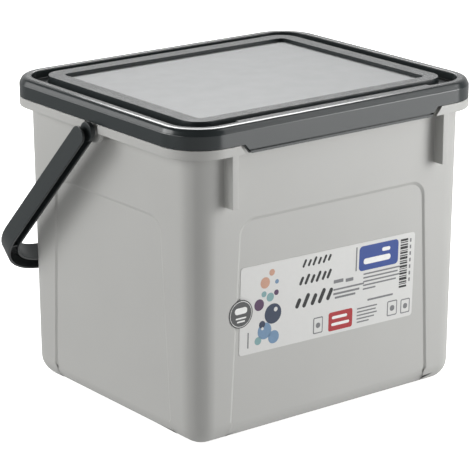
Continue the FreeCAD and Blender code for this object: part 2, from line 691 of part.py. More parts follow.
def make_badge():
    """The round sticker, flat on the wall beside the panel and over the label's edge."""
    body = new_body("badge")
    outline = new_sketch(body, "badge_outline", "XZ_Plane")
    circle(outline, "badge_radius", BADGE_PLACE)
    pad(body, outline, "sticker_wall")
    stick_on(body, "badge_level", "panel_depth")
    return body


# ---------------------------------------------------------------- build and export


def check(parts):
    """Stop unless every object is sound and every part is one valid solid."""
    for thing in doc.Objects:
        if "Invalid" in thing.State or "Error" in thing.State:
            raise RuntimeError("%s is in state %s" % (thing.Name, thing.State))
    for part in parts:
        shape = part.Shape
        if shape.isNull() or not shape.isValid() or len(shape.Solids) != 1:
            raise RuntimeError(part.Label + " is not one valid solid")


def report(parts):
    """Print the extent and volume of each part."""
    for part in parts:
        extent = part.Shape.BoundBox
        corners = (extent.XMin, extent.YMin, extent.ZMin, extent.XMax, extent.YMax, extent.ZMax)
        print(part.Label, " ".join("%.2f" % value for value in corners),
              "volume %.1f" % part.Shape.Volume)


sheet = make_sheet()
parts = [make_container(), make_lid(), make_handle(), make_label(), make_badge()]
doc.recompute()
check(parts)
os.makedirs("parts", exist_ok=True)
for part in parts:
    part.Shape.exportStep("parts/%s.step" % part.Label)
report(parts)
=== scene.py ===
import json
import math

import bpy
from bpy.props import FloatProperty, FloatVectorProperty, PointerProperty
from mathutils import Matrix, Vector

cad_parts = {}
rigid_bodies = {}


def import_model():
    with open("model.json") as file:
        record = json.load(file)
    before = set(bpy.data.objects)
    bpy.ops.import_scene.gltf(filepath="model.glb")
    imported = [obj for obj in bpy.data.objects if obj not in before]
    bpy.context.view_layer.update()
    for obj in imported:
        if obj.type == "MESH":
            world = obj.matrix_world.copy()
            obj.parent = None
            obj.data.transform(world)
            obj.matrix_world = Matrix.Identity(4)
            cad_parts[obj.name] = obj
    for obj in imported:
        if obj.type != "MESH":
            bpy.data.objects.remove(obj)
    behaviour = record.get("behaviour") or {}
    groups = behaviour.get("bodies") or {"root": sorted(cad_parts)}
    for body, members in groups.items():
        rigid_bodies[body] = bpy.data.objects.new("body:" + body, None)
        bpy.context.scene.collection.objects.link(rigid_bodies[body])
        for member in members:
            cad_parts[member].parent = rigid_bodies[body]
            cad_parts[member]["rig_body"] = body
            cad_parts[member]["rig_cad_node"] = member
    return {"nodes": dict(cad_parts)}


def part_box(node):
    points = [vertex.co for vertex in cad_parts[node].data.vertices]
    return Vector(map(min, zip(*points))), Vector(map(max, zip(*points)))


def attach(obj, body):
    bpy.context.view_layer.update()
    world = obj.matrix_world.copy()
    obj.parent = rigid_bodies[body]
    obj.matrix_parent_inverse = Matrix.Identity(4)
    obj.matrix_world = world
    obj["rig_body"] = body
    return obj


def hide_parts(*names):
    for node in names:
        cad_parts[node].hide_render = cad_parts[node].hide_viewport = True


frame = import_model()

# Looks of a powder storage container: a grey tapered box, an anthracite lid and a swinging bail.
# The container stands on z = 0, its labelled front faces -Y and the bail's pivots lie along X.

bl_info = {
    "name": "Powder storage container",
    "version": (1, 0, 0),
    "blender": (4, 5, 0),
    "location": "3D View > Sidebar > Container",
    "description": "Models and finishes a lidded powder storage container with a swinging bail",
    "category": "Object",
}

MM = 0.001
NEAR = 0.05 * MM  # places closer than this count as one
FACING = 0.9  # a face with this much of its normal along an axis faces that way
WALL_LEAN = math.radians(0.6)  # how far the container's walls lean out
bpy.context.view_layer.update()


def linear(code):
    """Turn an sRGB hex colour into linear red, green and blue."""
    channels = [int(code[place:place + 2], 16) / 255 for place in (1, 3, 5)]
    return [c / 12.92 if c <= 0.04045 else ((c + 0.055) / 1.055) ** 2.4 for c in channels]


def length(label, meaning, millimetres):
    """A size in the sidebar, stored in metres."""
    return FloatProperty(name=label, description=meaning, default=millimetres * MM, unit="LENGTH",
                         precision=5)


def colour(label, meaning, code):
    """A colour in the sidebar."""
    return FloatVectorProperty(name=label, description=meaning, default=linear(code),
                               subtype="COLOR", min=0, max=1, size=3)


# ---------------------------------------------------------------- settings


class ContainerSettings(bpy.types.PropertyGroup):
    """What a user would change on the container."""

    edge_round: length("Edge round", "Round along the moulded edges", 0.35)
    panel_slope: length("Panel slope", "Width of the slope round each wall panel", 1.4)
    plastic: colour("Plastic", "Colour of the grey polypropylene", "#bbbbb8")


class LidSettings(bpy.types.PropertyGroup):
    """What a user would change on the lid."""

    rise: length("Rise", "Parting line to the top of the lid", 11.0)
    corner: length("Corner", "Corner radius seen from above", 24.5)
    ledge_drop: length("Ledge drop", "Top of the lid to the soft ledge round its skirt", 3.1)
    ledge_fall: length("Ledge fall", "How far the ledge falls outwards", 0.4)
    ledge: length("Ledge", "How far the ledge steps in", 0.35)
    band_lean: length("Band lean", "How far the band over the ledge leans in", 0.95)
    crest_in: length("Crest inside", "Outside of the lid to the inner edge of its crest", 3.6)
    crest_out: length("Crest outside", "Outside of the lid to the outer edge of its crest", 2.1)
    crest_fall: length("Crest fall", "How far the crest falls outwards", 0.34)
    shoulder: length("Shoulder", "Top of the lid to the foot of the slope outside the crest", 1.1)
    ring: length("Ring", "Width of the top ring", 7.0)
    moat: length("Moat", "Depth of the moat inside the ring", 5.1)
    plateau_lean: length("Plateau lean", "How far the plateau's sides spread to their foot", 0.8)
    panel_sink: length("Panel sink", "How far the top panel is sunk", 2.0)
    thickening: length("Thickening", "Extra width of the ring behind the lip", 2.4)
    lip_half: length("Lip half width", "Middle of the front to the end of the lip", 67.9)
    lip_drop: length("Lip drop", "How far the lip hangs under the parting line", 5.3)
    lip_slant: length("Lip slant", "How far each end of the lip slants in", 4.5)
    lip_tab: length("Lip tab", "How far the lip's set-back end reaches past its face", 1.0)
    tab_back: length("Tab back", "How far the lip's end is set back", 1.3)
    bead: length("Bead", "Height of the bead along the lip's lower edge", 1.3)
    groove: length("Groove", "Width of the groove above the bead", 0.9)
    groove_depth: length("Groove depth", "Depth of the groove above the bead", 1.4)
    plastic: colour("Plastic", "Colour of the anthracite polypropylene", "#313637")
    # the panel is the lid's own plastic; its lighter colour is painted sheen that stands in for
    # the satin panel's brighter reflection
    panel: colour("Panel", "Colour of the satin top panel", "#3f4546")


class BailSettings(bpy.types.PropertyGroup):
    """What a user would change on the bail."""

    edge_round: length("Edge round", "Round along the moulded edges", 0.4)
    plastic: colour("Plastic", "Colour of the anthracite polypropylene", "#313637")


class StickerSettings(bpy.types.PropertyGroup):
    """What a user would change on the two stickers."""

    turn: FloatProperty(name="Turn", description="How far the label is stuck on askew",
                        default=math.radians(1.1), unit="ROTATION")
    lean: FloatProperty(name="Lean", description="How far the front wall leans outwards",
                        default=WALL_LEAN, unit="ROTATION")
    ink: length("Ink", "Thickness of the printed ink", 0.04)
    film: colour("Film", "Colour of the label's film", "#dadad8")
    badge: colour("Badge", "Colour of the badge", "#505152")
    white: colour("White", "Colour of the white print", "#f2f2f0")
    blue: colour("Blue", "Colour of the blue field", "#133f90")
    red: colour("Red", "Colour of the red field", "#ab1c24")
    dark: colour("Dark", "Colour of the black print", "#0e0f11")
    grey: colour("Grey", "Colour of the small grey print", "#77787a")
    navy: colour("Navy", "Colour of the largest bubble", "#27364f")
    steel: colour("Steel", "Colour of the lower bubbles", "#6f8fae")
    teal: colour("Teal", "Colour of the rising bubbles", "#7fa6a8")
    plum: colour("Plum", "Colour of one bubble", "#4f2f55")
    peach: colour("Peach", "Colour of the highest bubbles", "#c99b84")


class StudioSettings(bpy.types.PropertyGroup):
    """What a user would change in the studio."""

    floor: colour("Floor", "Colour of the floor", "#f4f4f3")
    lens: FloatProperty(name="Lens", description="Focal length of the camera in millimetres",
                        default=176.4, min=1)
    light: FloatProperty(name="Light", description="Strength of all the lights together",
                         default=1.0, min=0)


# ---------------------------------------------------------------- modelling helpers

ELEMENTS = {"VERT": "vertices", "EDGE": "edges", "FACE": "polygons"}
ROUNDED_ABOVE = math.radians(28)  # a moulded edge sharper than this gets a round
SMOOTH_BELOW = math.radians(32)  # a softer edge than this is shaded smooth
FLAT = math.radians(0.3)  # faces that differ less than this lie in one plane
SEAM = 0.002 * MM  # corners of a CAD mesh closer than this are one corner


def only(*things):
    """Leave just these objects selected, the first of them active."""
    bpy.ops.object.select_all(action="DESELECT")
    for thing in things:
        thing.select_set(True)
    bpy.context.view_layer.objects.active = things[0]


def edit(thing, mode):
    """Set the kind of element to pick on one object, with nothing selected in it."""
    only(thing)
    bpy.ops.object.mode_set(mode="EDIT")
    bpy.ops.mesh.select_mode(type=mode)
    bpy.ops.mesh.select_all(action="DESELECT")
    bpy.ops.object.mode_set(mode="OBJECT")


def pick(thing, mode, test):
    """Go to edit mode with just the elements of one kind selected that pass the test."""
    edit(thing, mode)
    found = 0
    for element in getattr(thing.data, ELEMENTS[mode]):
        element.select = bool(test(element))
        found += element.select
    if not found:
        raise RuntimeError(thing.name + ": no element passes the test for " + ELEMENTS[mode])
    bpy.ops.object.mode_set(mode="EDIT")


def pick_faces(thing, test):
    """Pick the faces whose centre and normal pass the test."""
    pick(thing, "FACE", lambda face: test(face.center, face.normal))


def pick_edges(thing, test):
    """Pick the edges whose ends both pass the test."""
    pick(thing, "EDGE",
         lambda edge: all(test(thing.data.vertices[end].co) for end in edge.vertices))


def pick_points(thing, test):
    """Pick the vertices whose place passes the test."""
    pick(thing, "VERT", lambda corner: test(corner.co))


def pick_all(thing, mode="FACE"):
    """Go to edit mode with everything selected."""
    edit(thing, mode)
    bpy.ops.object.mode_set(mode="EDIT")
    bpy.ops.mesh.select_all(action="SELECT")


def leave():
    """Back to object mode."""
    bpy.ops.object.mode_set(mode="OBJECT")


def round_off(amount, segments, affect="EDGES"):
    """Bevel what is selected to a round."""
    bpy.ops.mesh.bevel(affect=affect, offset=amount, segments=segments, profile=0.5,
                       clamp_overlap=False)


def draw_out(x, y, z):
    """Extrude the selected faces by a step."""
    bpy.ops.mesh.extrude_region_move(TRANSFORM_OT_translate={"value": (x, y, z)})


def face_outwards(thing):
    """Turn every face of a closed piece outwards."""
    pick_all(thing)
    bpy.ops.mesh.normals_make_consistent(inside=False)
    leave()


def settle(thing):
    """Apply a piece's place, turn and scale."""
    only(thing)
    bpy.ops.object.transform_apply(location=True, rotation=True, scale=True)


def smooth(thing):
    """Smooth shading that keeps the flats flat and the hard corners hard."""
    only(thing)
    bpy.ops.object.shade_smooth_by_angle(angle=SMOOTH_BELOW)
    bpy.ops.object.modifier_add(type="WEIGHTED_NORMAL")
    modifier = thing.modifiers[-1]
    modifier.keep_sharp = True
    modifier.weight = 60
    bpy.ops.object.modifier_apply(modifier=modifier.name)


def moulded_copy(node, name, edge_round, reshape=None):
    """Copy a CAD node as one clean closed skin, reshape it, and round its sharp edges."""
    only(frame["nodes"][node])
    bpy.ops.object.duplicate()
    piece = bpy.context.active_object
    piece.name = name
    piece.parent = None
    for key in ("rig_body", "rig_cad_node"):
        if key in piece:
            del piece[key]
    pick_all(piece, "VERT")
    bpy.ops.mesh.remove_doubles(threshold=SEAM)
    bpy.ops.mesh.dissolve_limited(angle_limit=FLAT)
    leave()
    if reshape:
        reshape(piece)
    edit(piece, "EDGE")
    bpy.ops.object.mode_set(mode="EDIT")
    bpy.ops.mesh.edges_select_sharp(sharpness=ROUNDED_ABOVE)
    round_off(edge_round, 2)
    leave()
    return piece


def rounded_section(half_x, half_y, shift, corner, level, steps):
    """One closed rounded outline at a level, as a plane with bevelled corners."""
    bpy.ops.mesh.primitive_plane_add(size=2, location=(0, shift, level))
    section = bpy.context.active_object
    only(section)
    bpy.ops.transform.resize(value=(half_x, half_y, 1))
    settle(section)
    pick_all(section, "VERT")
    round_off(corner, steps, "VERTICES")
    bpy.ops.mesh.delete(type="ONLY_FACE")
    leave()
    return section


def loft(name, sections, steps=14):
    """A closed skin through rounded outlines. They are bridged as a tall stack, each is drawn
    to its own level, and the first and the last are capped."""
    spread = 10 * MM
    rings = [rounded_section(*section[:4], index * spread, steps)
             for index, section in enumerate(sections)]
    only(*rings)
    bpy.ops.object.join()
    piece = bpy.context.active_object
    piece.name = name
    count = 4 * (steps + 1)
    if len(piece.data.vertices) != count * len(sections):
        raise RuntimeError(name + ": an outline has the wrong number of points")
    for index in range(len(sections) - 1):
        # the edges of two outlines that follow each other, without those that join outlines
        pick(piece, "EDGE", lambda edge: edge.vertices[0] // count == edge.vertices[1] // count
             and edge.vertices[0] // count in (index, index + 1))
        bpy.ops.mesh.bridge_edge_loops()
        leave()
    for index in (0, len(sections) - 1):
        pick(piece, "EDGE", lambda edge: all(end // count == index for end in edge.vertices))
        bpy.ops.mesh.edge_face_add()
        leave()
    for index, section in enumerate(sections):
        pick(piece, "VERT", lambda corner: corner.index // count == index)
        bpy.ops.transform.translate(value=(0, 0, section[4] - index * spread))
        leave()
    face_outwards(piece)
    return piece


def wear(thing, *materials):
    """Give a piece its materials, first slot first."""
    thing.data.materials.clear()
    for material in materials:
        thing.data.materials.append(material)


def mount(thing, body, slot, *nodes):
    """Let a finished piece ride on its body and stand for its CAD nodes. The slot is not used."""
    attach(thing, body)
    if nodes:
        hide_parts(*nodes)


# ---------------------------------------------------------------- materials

NOISE_LOW, NOISE_HIGH = 0.3, 0.7  # most of a noise lies between these
GLOSS_SWING = 0.015  # how far the roughness of moulded plastic varies


def add_node(tree, kind, inputs=None, **settings):
    """Add a node with its settings, and link or set its inputs."""
    node = tree.nodes.new(kind)
    for name, value in settings.items():
        setattr(node, name, value)
    for name, value in (inputs or {}).items():
        if isinstance(value, bpy.types.NodeSocket):
            tree.links.new(value, node.inputs[name])
        else:
            node.inputs[name].default_value = value
    return node


def opaque(rgb):
    """A colour with full alpha."""
    return (rgb[0], rgb[1], rgb[2], 1.0)


def new_tree(owner):
    """An empty node tree on a material or a world."""
    owner.use_nodes = True
    owner.node_tree.nodes.clear()
    return owner.node_tree


def moulded_polypropylene(name, rgb, roughness, mottle, grain, depth):
    """Injection-moulded polypropylene. Its colour barely varies, its gloss is slightly uneven
    where the mould was polished, and a fine orange peel breaks up the highlights."""
    material = bpy.data.materials.new(name)
    tree = new_tree(material)
    place = add_node(tree, "ShaderNodeTexCoord")
    # slow clouds of pigment, about 45 mm across
    clouds = add_node(tree, "ShaderNodeTexNoise",
                      {"Vector": place.outputs["Object"], "Scale": 1 / (45 * MM), "Detail": 2.0})
    shade = add_node(tree, "ShaderNodeMapRange",
                     {"Value": clouds.outputs["Fac"], "From Min": NOISE_LOW,
                      "From Max": NOISE_HIGH, "To Min": 1 - mottle, "To Max": 1 + mottle})
    tinted = add_node(tree, "ShaderNodeVectorMath",
                      {0: rgb, "Scale": shade.outputs["Result"]}, operation="SCALE")
    # gloss changes over about 12 mm, as the mould's polish does
    polish = add_node(tree, "ShaderNodeTexNoise",
                      {"Vector": place.outputs["Object"], "Scale": 1 / (12 * MM), "Detail": 3.0})
    gloss = add_node(tree, "ShaderNodeMapRange",
                     {"Value": polish.outputs["Fac"], "From Min": NOISE_LOW,
                      "From Max": NOISE_HIGH, "To Min": roughness - GLOSS_SWING,
                      "To Max": roughness + GLOSS_SWING})
    # orange peel, too fine to show in truth and drawn at a grain that just does
    peel = add_node(tree, "ShaderNodeTexNoise",
                    {"Vector": place.outputs["Object"], "Scale": 1 / grain, "Detail": 2.0})
    bump = add_node(tree, "ShaderNodeBump",
                    {"Height": peel.outputs["Fac"], "Strength": 0.35, "Distance": depth})
    plastic = add_node(tree, "ShaderNodeBsdfPrincipled",
                       {"Base Color": tinted.outputs["Vector"],
                        "Roughness": gloss.outputs["Result"], "Normal": bump.outputs["Normal"],
                        "IOR": 1.49, "Specular IOR Level": 0.5})
    add_node(tree, "ShaderNodeOutputMaterial", {"Surface": plastic.outputs["BSDF"]})
    return material


def printed_film(name, rgb, roughness, mottle):
    """Printed polypropylene film. It is smooth and glossy, and its ink lies a little unevenly."""
    material = bpy.data.materials.new(name)
    tree = new_tree(material)
    place = add_node(tree, "ShaderNodeTexCoord")
    # ink density changes over about 3 mm
    ink = add_node(tree, "ShaderNodeTexNoise",
                   {"Vector": place.outputs["Object"], "Scale": 1 / (3 * MM), "Detail": 2.0})
    shade = add_node(tree, "ShaderNodeMapRange",
                     {"Value": ink.outputs["Fac"], "From Min": NOISE_LOW,
                      "From Max": NOISE_HIGH, "To Min": 1 - mottle, "To Max": 1 + mottle})
    tinted = add_node(tree, "ShaderNodeVectorMath",
                      {0: rgb, "Scale": shade.outputs["Result"]}, operation="SCALE")
    # the film ripples slightly over about 20 mm where it is stuck down
    ripple = add_node(tree, "ShaderNodeTexNoise",
                      {"Vector": place.outputs["Object"], "Scale": 1 / (20 * MM), "Detail": 1.0})
    bump = add_node(tree, "ShaderNodeBump",
                    {"Height": ripple.outputs["Fac"], "Strength": 0.3, "Distance": 0.15 * MM})
    film = add_node(tree, "ShaderNodeBsdfPrincipled",
                    {"Base Color": tinted.outputs["Vector"], "Roughness": roughness,
                     "Normal": bump.outputs["Normal"], "IOR": 1.5})
    add_node(tree, "ShaderNodeOutputMaterial", {"Surface": film.outputs["BSDF"]})
    return material


# ---------------------------------------------------------------- the pieces

# recessed panels in the container's walls
PANEL_FOOT = 10.5 * MM
PANEL_HEAD = 124.8 * MM
PANEL_TAPER = 3.4 * MM  # how far a panel's ends lean in, on average
# for each pair of walls: the axis along it, the axis out of it, half the panel's width at its
# foot, and the middle of the container to the wall at z = 0
WALLS = ((0, 1, 70.7 * MM, 80.2 * MM), (1, 0, 56.1 * MM, 94.4 * MM))
SLOPE_FACING = (0.75, 0.97)  # a slope faces out more than a recess's side and less than a wall

# what the lid's section needs so that it fits the container
SKIRT_WALL = 2.0 * MM
INNER_WALL = 1.6 * MM
# forms inside the lid's outside: drawn in along X, along Y, shifted back, corner radius
PLATEAU = (16.0 * MM, 15.5 * MM, 0.7 * MM, 12.0 * MM)
TOP_PANEL = (25.0 * MM, 24.0 * MM, 0, 4.0 * MM)
PLUG = (11.1 * MM, 9.35 * MM, 0, 12.2 * MM)


class CONTAINER_OT_body(bpy.types.Operator):
    """Round the moulded edges of the grey container and give it its plastic"""

    bl_idname = "container.body"
    bl_label = "Container"

    def execute(self, context):
        sizes = context.scene.container_body
        shell = moulded_copy("container", "container_moulding", sizes.edge_round,
                             lambda piece: self.slope_panels(piece, sizes.panel_slope))
        smooth(shell)
        wear(shell, moulded_polypropylene("polypropylene_moulded_grey", sizes.plastic,
                                          roughness=0.36, mottle=0.012, grain=1.1 * MM,
                                          depth=0.02 * MM))
        mount(shell, "container", "container_plastic", "container")
        return {"FINISHED"}

    def slope_panels(self, shell, width):
        """Spread the outer outline of each wall panel, so that its border slopes."""
        recess = 1 * MM  # deeper than the panels are
        for across, out, half, wall in WALLS:
            for side in (-1, 1):
                def beyond(p):
                    """How far a place lies outside the wall, less if it lies in the recess."""
                    return p[out] * side - math.tan(WALL_LEAN) * p.z - wall

                pick_points(shell, lambda p: PANEL_FOOT < p.z < PANEL_HEAD
                            and abs(p[across]) < half and 0 < beyond(p) < recess)
                spread = [1, 1, 1 + width / (PANEL_HEAD - PANEL_FOOT)]
                spread[across] = 1 + width / (half - PANEL_TAPER)
                bpy.ops.transform.resize(value=spread, center_override=(0, 0, PANEL_FOOT))
                leave()
                pick_faces(shell, lambda c, n: SLOPE_FACING[0] < n[out] * side < SLOPE_FACING[1]
                           and PANEL_FOOT - 2 * MM < c.z < PANEL_HEAD + width
                           and abs(c[across]) < half + width and abs(beyond(c)) < recess)
                bpy.ops.mesh.region_to_loop()
                bpy.ops.mesh.mark_sharp()
                leave()


class CONTAINER_OT_lid(bpy.types.Operator):
    """Loft the lid from its top panel out over the ring and back under it, then add its lip"""

    bl_idname = "container.lid"
    bl_label = "Lid"

    def execute(self, context):
        sizes = context.scene.container_lid
        low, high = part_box("lid")
        half_x, half_y, top = high.x, high.y, high.z
        parting = top - sizes.rise
        floor = top - sizes.moat
        outside = (0, 0, 0, sizes.corner)

        def outline(form, inset, level):
            """One form of the lid, drawn in by inset, at a level."""
            in_x, in_y, shift, corner = form
            return (half_x - in_x - inset, half_y - in_y - inset, shift, corner - inset, level)

        ring_under = sizes.ring - INNER_WALL
        lid = loft("lid_moulding", [
            outline(TOP_PANEL, 0, top - sizes.panel_sink),
            outline(TOP_PANEL, 0, top),
            outline(PLATEAU, 0, top),
            outline(PLATEAU, -sizes.plateau_lean, floor),
            outline(outside, sizes.ring, floor),
            outline(outside, sizes.ring, top),
            outline(outside, sizes.crest_in, top),
            outline(outside, sizes.crest_out, top - sizes.crest_fall),
            outline(outside, sizes.ledge + sizes.band_lean, top - sizes.shoulder),
            outline(outside, sizes.ledge, top - sizes.ledge_drop),
            outline(outside, 0, top - sizes.ledge_drop - sizes.ledge_fall),
            outline(outside, 0, parting),
            # from here on, the underside
            outline(outside, SKIRT_WALL, parting),
            outline(outside, SKIRT_WALL, top - SKIRT_WALL),
            outline(outside, ring_under, top - SKIRT_WALL),
            outline(outside, ring_under, floor - INNER_WALL),
            outline(PLUG, 0, floor - INNER_WALL),
            outline(PLUG, 0, low.z),
            outline(PLUG, INNER_WALL, low.z),
            outline(PLUG, INNER_WALL, floor - INNER_WALL),
            outline(PLATEAU, INNER_WALL, floor - INNER_WALL),
            outline(PLATEAU, INNER_WALL, top - INNER_WALL),
            outline(TOP_PANEL, -INNER_WALL, top - INNER_WALL),
            outline(TOP_PANEL, -INNER_WALL, top - sizes.panel_sink - INNER_WALL),
        ])
        self.add_lip(lid, sizes, -half_y, parting)
        self.thicken_ring(lid, sizes, -half_y + sizes.ring, top)
        self.round_edges(lid, sizes, half_x, half_y, top)
        smooth(lid)
        wear(lid,
             moulded_polypropylene("polypropylene_polished_anthracite", sizes.plastic,
                                   roughness=0.2, mottle=0.02, grain=1.2 * MM, depth=0.008 * MM),
             # satin roughness is real, the lighter panel colour is painted sheen
             moulded_polypropylene("polypropylene_satin_panel", sizes.panel,
                                   roughness=0.42, mottle=0.02, grain=0.8 * MM, depth=0.02 * MM))
        # only the sunk panel is satin, and it carries the lighter colour that paints its sheen
        sunk = top - sizes.panel_sink
        for face in lid.data.polygons:
            inside = (abs(face.center.x) < half_x - TOP_PANEL[0]
                      and abs(face.center.y) < half_y - TOP_PANEL[1])
            level = abs(face.center.z - sunk) < NEAR and face.normal.z > FACING
            face.material_index = 1 if inside and level else 0
        mount(lid, "lid", "lid_plastic", "lid")
        return {"FINISHED"}

    def add_lip(self, lid, sizes, front, parting):
        """Draw the lip down from the skirt's foot, slant its ends, step its left end back and
        cut its groove."""
        foot = parting - sizes.lip_drop
        behind = front + SKIRT_WALL  # the back of the lip
        for side in (-1, 1):
            pick_all(lid)
            bpy.ops.mesh.bisect(plane_co=(side * sizes.lip_half, 0, 0), plane_no=(1, 0, 0))
            leave()
        pick_faces(lid, lambda c, n: n.z < -FACING and c.y < behind
                   and abs(c.x) < sizes.lip_half and abs(c.z - parting) < NEAR)
        draw_out(0, 0, -sizes.lip_drop)
        leave()
        for side in (-1, 1):
            pick_points(lid, lambda p: abs(p.z - foot) < NEAR and p.y < behind + 1 * MM
                        and p.x * side > sizes.lip_half - 1 * MM)
            bpy.ops.transform.translate(value=(-side * sizes.lip_slant, 0, 0))
            leave()

        def left_end(c, n):
            """True on the slanted end."""
            return n.x < -0.5 and foot < c.z < parting and c.y < behind

        pick_faces(lid, left_end)
        bpy.ops.mesh.bisect(plane_co=(0, front + sizes.tab_back, 0), plane_no=(0, 1, 0))
        leave()
        pick_faces(lid, lambda c, n: left_end(c, n) and c.y > front + sizes.tab_back)
        draw_out(-sizes.lip_tab, 0, 0)
        leave()
        bead_top = foot + sizes.bead
        groove_top = bead_top + sizes.groove
        for level in (bead_top, groove_top):
            pick_faces(lid, lambda c, n: c.z < parting - 0.5 * MM and c.y < behind + 2 * MM)
            bpy.ops.mesh.bisect(plane_co=(0, 0, level), plane_no=(0, 0, 1))
            leave()
        pick_faces(lid, lambda c, n: n.y < -FACING and c.y < front + NEAR
                   and bead_top < c.z < groove_top)
        draw_out(0, sizes.groove_depth, 0)
        leave()

    def thicken_ring(self, lid, sizes, wall, top):
        """Widen the ring behind the lip, into the moat."""
        reach = sizes.lip_half - 0.5 * MM  # the wider part ends just inside the lip
        edge = 0.6 * MM
        floor = top - sizes.moat
        strip = floor + 0.3 * MM  # the wall keeps its place below this level
        for side in (-1, 1):
            pick_faces(lid, lambda c, n: c.y < wall + NEAR and c.z > floor - NEAR)
            bpy.ops.mesh.bisect(plane_co=(side * reach, 0, 0), plane_no=(1, 0, 0))
            leave()

        def is_wall(c, n):
            return n.y > FACING and abs(c.y - wall) < NEAR and abs(c.x) < reach

        def on_top(p, width):
            return (wall - NEAR < p.y < wall + width + NEAR and abs(p.x) < reach + NEAR
                    and abs(p.z - top) < NEAR)

        pick_faces(lid, is_wall)
        bpy.ops.mesh.bisect(plane_co=(0, 0, strip), plane_no=(0, 0, 1))
        leave()
        pick_faces(lid, lambda c, n: is_wall(c, n) and c.z > strip)
        draw_out(0, sizes.thickening, 0)
        leave()
        pick_edges(lid, lambda p: on_top(p, 0))
        bpy.ops.mesh.dissolve_edges(use_verts=False)
        leave()
        pick_edges(lid, lambda p: on_top(p, sizes.thickening))
        round_off(edge, 3)
        leave()

    def round_edges(self, lid, sizes, half_x, half_y, top):
        """Round the lid's long edges and keep the crest's inner edge crisp."""
        def along(inset, level):
            """A test for the outline that lies inset inside the lid's outside, at a level."""
            radius = sizes.corner - inset
            flat_x = half_x - inset - radius
            flat_y = half_y - inset - radius

            def test(p):
                over_x = max(abs(p.x) - flat_x, 0)
                over_y = max(abs(p.y) - flat_y, 0)
                return (abs(p.z - level) < NEAR
                        and abs(math.hypot(over_x, over_y) - radius) < NEAR)
            return test

        # where each outline lies, its round and the steps in it
        for inset, level, amount, segments in (
            (sizes.crest_out, top - sizes.crest_fall, 0.5 * MM, 3),
            (sizes.ledge + sizes.band_lean, top - sizes.shoulder, 0.5 * MM, 4),
            (sizes.ring, top, 0.7 * MM, 3),
            (sizes.ring, top - sizes.moat, 0.8 * MM, 3),
            (0, top - sizes.ledge_drop - sizes.ledge_fall, 0.4 * MM, 3),
        ):
            pick_edges(lid, along(inset, level))
            round_off(amount, segments)
            leave()
        pick_edges(lid, along(sizes.crest_in, top))
        bpy.ops.mesh.mark_sharp()
        leave()


class CONTAINER_OT_bail(bpy.types.Operator):
    """Round the moulded edges of the bail and give it its plastic"""

    bl_idname = "container.bail"
    bl_label = "Bail"

    def execute(self, context):
        sizes = context.scene.container_bail
        bail = moulded_copy("handle", "bail_moulding", sizes.edge_round)
        smooth(bail)
        wear(bail, moulded_polypropylene("polypropylene_moulded_anthracite", sizes.plastic,
                                         roughness=0.34, mottle=0.02, grain=1.2 * MM,
                                         depth=0.015 * MM))
        mount(bail, "handle", "handle_plastic", "handle")
        return {"FINISHED"}


